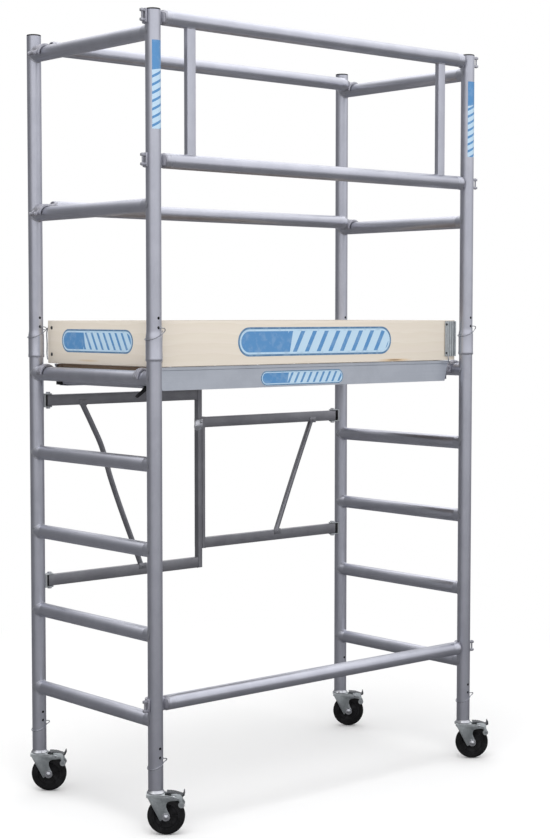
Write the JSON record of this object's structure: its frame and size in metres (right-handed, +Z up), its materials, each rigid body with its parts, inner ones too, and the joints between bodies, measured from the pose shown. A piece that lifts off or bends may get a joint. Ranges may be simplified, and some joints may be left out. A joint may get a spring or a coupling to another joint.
{
  "type": "rolling frame scaffold section",
  "caption": "Rolling aluminium frame scaffold section with ladder frames, a folding side frame, guard rails and a hooked platform with a hatch and toe boards.",
  "frame": {"origin": "centre of the bounding box on the floor, under the platform", "axes": "+X along the long side, +Y across it towards the folding side frame, +Z up"},
  "size_m": [1.6188, 0.8038, 2.6805],
  "materials": {
    "aluminium": "mill-finish extruded tube, lightly drawn along its length",
    "cast_aluminium": "cast, slightly grainy",
    "galvanised": "galvanised sheet with faint spangle",
    "bright_zinc": "bright zinc plate",
    "plywood": "film-faced birch plywood with a fine slip-resistant mesh pattern",
    "spruce": "planed pale spruce",
    "black_plastic": "moulded, matt",
    "rubber": "solid black rubber tyre on a black hub"
  },
  "bodies": {
    "root": {"castor_front_left_stem": "bright_zinc", "castor_front_right_stem": "bright_zinc", "castor_rear_left_stem": "bright_zinc", "castor_rear_right_stem": "bright_zinc", "deck_panel": "plywood", "fold_bracket_left_lower": "galvanised", "fold_bracket_left_upper": "galvanised", "fold_bracket_right_lower": "galvanised", "fold_bracket_right_upper": "galvanised", "fold_centre_hinge": "galvanised", "fold_frame_left": "aluminium", "fold_frame_right": "aluminium", "front_brace": "aluminium", "front_guard_rail": "aluminium", "guard_frame_left": "aluminium", "guard_frame_right": "aluminium", "hatch_hinge": "galvanised", "ladder_frame_left": "aluminium", "ladder_frame_right": "aluminium", "platform_front_beam": "aluminium", "platform_left_beam": "aluminium", "platform_middle_beam": "aluminium", "platform_rear_beam": "aluminium", "platform_right_beam": "aluminium", "post_cap_front_left": "black_plastic", "post_cap_front_right": "black_plastic", "post_cap_rear_left": "black_plastic", "post_cap_rear_right": "black_plastic", "rear_middle_rail": "aluminium", "rear_top_rail": "aluminium", "toe_board_front": "spruce", "toe_board_left": "spruce", "toe_board_rear": "spruce", "toe_board_right": "spruce"},
    "castor_rear_left_swivel": {"castor_rear_left_fork": "galvanised"},
    "castor_rear_left_wheel": {"castor_rear_left_wheel": "rubber"},
    "castor_rear_left_brake": {"castor_rear_left_brake": "galvanised"},
    "castor_front_left_swivel": {"castor_front_left_fork": "galvanised"},
    "castor_front_left_wheel": {"castor_front_left_wheel": "rubber"},
    "castor_front_left_brake": {"castor_front_left_brake": "galvanised"},
    "castor_rear_right_swivel": {"castor_rear_right_fork": "galvanised"},
    "castor_rear_right_wheel": {"castor_rear_right_wheel": "rubber"},
    "castor_rear_right_brake": {"castor_rear_right_brake": "galvanised"},
    "castor_front_right_swivel": {"castor_front_right_fork": "galvanised"},
    "castor_front_right_wheel": {"castor_front_right_wheel": "rubber"},
    "castor_front_right_brake": {"castor_front_right_brake": "galvanised"},
    "front_brace_latch_end_left": {"front_brace_latch_end_left": "cast_aluminium"},
    "front_brace_latch_end_right": {"front_brace_latch_end_right": "cast_aluminium"},
    "front_guard_rail_latch_lower_left": {"front_guard_rail_latch_lower_left": "cast_aluminium"},
    "front_guard_rail_latch_lower_right": {"front_guard_rail_latch_lower_right": "cast_aluminium"},
    "front_guard_rail_latch_upper_left": {"front_guard_rail_latch_upper_left": "cast_aluminium"},
    "front_guard_rail_latch_upper_right": {"front_guard_rail_latch_upper_right": "cast_aluminium"},
    "rear_middle_rail_latch_end_left": {"rear_middle_rail_latch_end_left": "cast_aluminium"},
    "rear_middle_rail_latch_end_right": {"rear_middle_rail_latch_end_right": "cast_aluminium"},
    "rear_top_rail_latch_end_left": {"rear_top_rail_latch_end_left": "cast_aluminium"},
    "rear_top_rail_latch_end_right": {"rear_top_rail_latch_end_right": "cast_aluminium"},
    "hatch": {"hatch": "plywood"},
    "wind_lock_left": {"wind_lock_left": "black_plastic"},
    "wind_lock_right": {"wind_lock_right": "black_plastic"},
    "fold_latch": {"fold_latch": "bright_zinc"}
  },
  "joints": [
    {"name": "castor_rear_left_swivel", "type": "hinge", "parent": "root", "child": "castor_rear_left_swivel", "pos_m": [-0.75495, 0.36481, 0.1283], "axis": [0, 0, 1], "continuous": true},
    {"name": "castor_rear_left_roll", "type": "hinge", "parent": "castor_rear_left_swivel", "child": "castor_rear_left_wheel", "pos_m": [-0.72929, 0.34251, 0.0625], "axis": [-0.6561, -0.7547, 0], "continuous": true},
    {"name": "castor_rear_left_brake", "type": "hinge", "parent": "castor_rear_left_swivel", "child": "castor_rear_left_brake", "pos_m": [-0.70966, 0.32545, 0.1285], "axis": [0.6561, 0.7547, 0], "range_deg": [0, 24]},
    {"name": "castor_front_left_swivel", "type": "hinge", "parent": "root", "child": "castor_front_left_swivel", "pos_m": [-0.75495, -0.32519, 0.1283], "axis": [0, 0, 1], "continuous": true},
    {"name": "castor_front_left_roll", "type": "hinge", "parent": "castor_front_left_swivel", "child": "castor_front_left_wheel", "pos_m": [-0.72929, -0.34749, 0.0625], "axis": [-0.6561, -0.7547, 0], "continuous": true},
    {"name": "castor_front_left_brake", "type": "hinge", "parent": "castor_front_left_swivel", "child": "castor_front_left_brake", "pos_m": [-0.70966, -0.36455, 0.1285], "axis": [0.6561, 0.7547, 0], "range_deg": [0, 24]},
    {"name": "castor_rear_right_swivel", "type": "hinge", "parent": "root", "child": "castor_rear_right_swivel", "pos_m": [0.72505, 0.36481, 0.1283], "axis": [0, 0, 1], "continuous": true},
    {"name": "castor_rear_right_roll", "type": "hinge", "parent": "castor_rear_right_swivel", "child": "castor_rear_right_wheel", "pos_m": [0.75071, 0.34251, 0.0625], "axis": [-0.6561, -0.7547, 0], "continuous": true},
    {"name": "castor_rear_right_brake", "type": "hinge", "parent": "castor_rear_right_swivel", "child": "castor_rear_right_brake", "pos_m": [0.77034, 0.32545, 0.1285], "axis": [0.6561, 0.7547, 0], "range_deg": [0, 24]},
    {"name": "castor_front_right_swivel", "type": "hinge", "parent": "root", "child": "castor_front_right_swivel", "pos_m": [0.72505, -0.32519, 0.1283], "axis": [0, 0, 1], "continuous": true},
    {"name": "castor_front_right_roll", "type": "hinge", "parent": "castor_front_right_swivel", "child": "castor_front_right_wheel", "pos_m": [0.75071, -0.34749, 0.0625], "axis": [-0.6561, -0.7547, 0], "continuous": true},
    {"name": "castor_front_right_brake", "type": "hinge", "parent": "castor_front_right_swivel", "child": "castor_front_right_brake", "pos_m": [0.77034, -0.36455, 0.1285], "axis": [0.6561, 0.7547, 0], "range_deg": [0, 24]},
    {"name": "front_brace_latch_end_left", "type": "hinge", "parent": "root", "child": "front_brace_latch_end_left", "pos_m": [-0.79945, -0.32719, 0.4305], "axis": [0, 0, -1], "range_deg": [0, 40], "stiffness_Nm_per_rad": 0.15, "springref_deg": -20.05},
    {"name": "front_brace_latch_end_right", "type": "hinge", "parent": "root", "child": "front_brace_latch_end_right", "pos_m": [0.76955, -0.32719, 0.4305], "axis": [0, 0, 1], "range_deg": [0, 40], "stiffness_Nm_per_rad": 0.15, "springref_deg": -20.05},
    {"name": "front_guard_rail_latch_lower_left", "type": "hinge", "parent": "root", "child": "front_guard_rail_latch_lower_left", "pos_m": [-0.79945, -0.32719, 2.1995], "axis": [0, 0, -1], "range_deg": [0, 40], "stiffness_Nm_per_rad": 0.15, "springref_deg": -20.05},
    {"name": "front_guard_rail_latch_lower_right", "type": "hinge", "parent": "root", "child": "front_guard_rail_latch_lower_right", "pos_m": [0.76955, -0.32719, 2.1995], "axis": [0, 0, 1], "range_deg": [0, 40], "stiffness_Nm_per_rad": 0.15, "springref_deg": -20.05},
    {"name": "front_guard_rail_latch_upper_left", "type": "hinge", "parent": "root", "child": "front_guard_rail_latch_upper_left", "pos_m": [-0.79945, -0.32719, 2.6555], "axis": [0, 0, -1], "range_deg": [0, 40], "stiffness_Nm_per_rad": 0.15, "springref_deg": -20.05},
    {"name": "front_guard_rail_latch_upper_right", "type": "hinge", "parent": "root", "child": "front_guard_rail_latch_upper_right", "pos_m": [0.76955, -0.32719, 2.6555], "axis": [0, 0, 1], "range_deg": [0, 40], "stiffness_Nm_per_rad": 0.15, "springref_deg": -20.05},
    {"name": "rear_middle_rail_latch_end_left", "type": "hinge", "parent": "root", "child": "rear_middle_rail_latch_end_left", "pos_m": [-0.79945, 0.30981, 2.053], "axis": [0, 1, 0], "range_deg": [0, 40], "stiffness_Nm_per_rad": 0.15, "springref_deg": -20.05},
    {"name": "rear_middle_rail_latch_end_right", "type": "hinge", "parent": "root", "child": "rear_middle_rail_latch_end_right", "pos_m": [0.76955, 0.30981, 2.053], "axis": [0, -1, 0], "range_deg": [0, 40], "stiffness_Nm_per_rad": 0.15, "springref_deg": -20.05},
    {"name": "rear_top_rail_latch_end_left", "type": "hinge", "parent": "root", "child": "rear_top_rail_latch_end_left", "pos_m": [-0.79945, 0.30981, 2.606], "axis": [0, 1, 0], "range_deg": [0, 40], "stiffness_Nm_per_rad": 0.15, "springref_deg": -20.05},
    {"name": "rear_top_rail_latch_end_right", "type": "hinge", "parent": "root", "child": "rear_top_rail_latch_end_right", "pos_m": [0.76955, 0.30981, 2.606], "axis": [0, -1, 0], "range_deg": [0, 40], "stiffness_Nm_per_rad": 0.15, "springref_deg": -20.05},
    {"name": "hatch", "type": "hinge", "parent": "root", "child": "hatch", "pos_m": [-0.06095, 0.01981, 1.5375], "axis": [0, 1, 0], "range_deg": [0, 175]},
    {"name": "wind_lock_left", "type": "hinge", "parent": "root", "child": "wind_lock_left", "pos_m": [-0.71495, -0.23169, 1.464], "axis": [0, -1, 0], "range_deg": [-34, 45]},
    {"name": "wind_lock_right", "type": "hinge", "parent": "root", "child": "wind_lock_right", "pos_m": [0.68505, 0.27131, 1.464], "axis": [0, 1, 0], "range_deg": [-34, 45]},
    {"name": "fold_latch", "type": "hinge", "parent": "root", "child": "fold_latch", "pos_m": [-0.02295, 0.35201, 1.296], "axis": [0, 1, 0], "range_deg": [0, 60]}
  ]
}
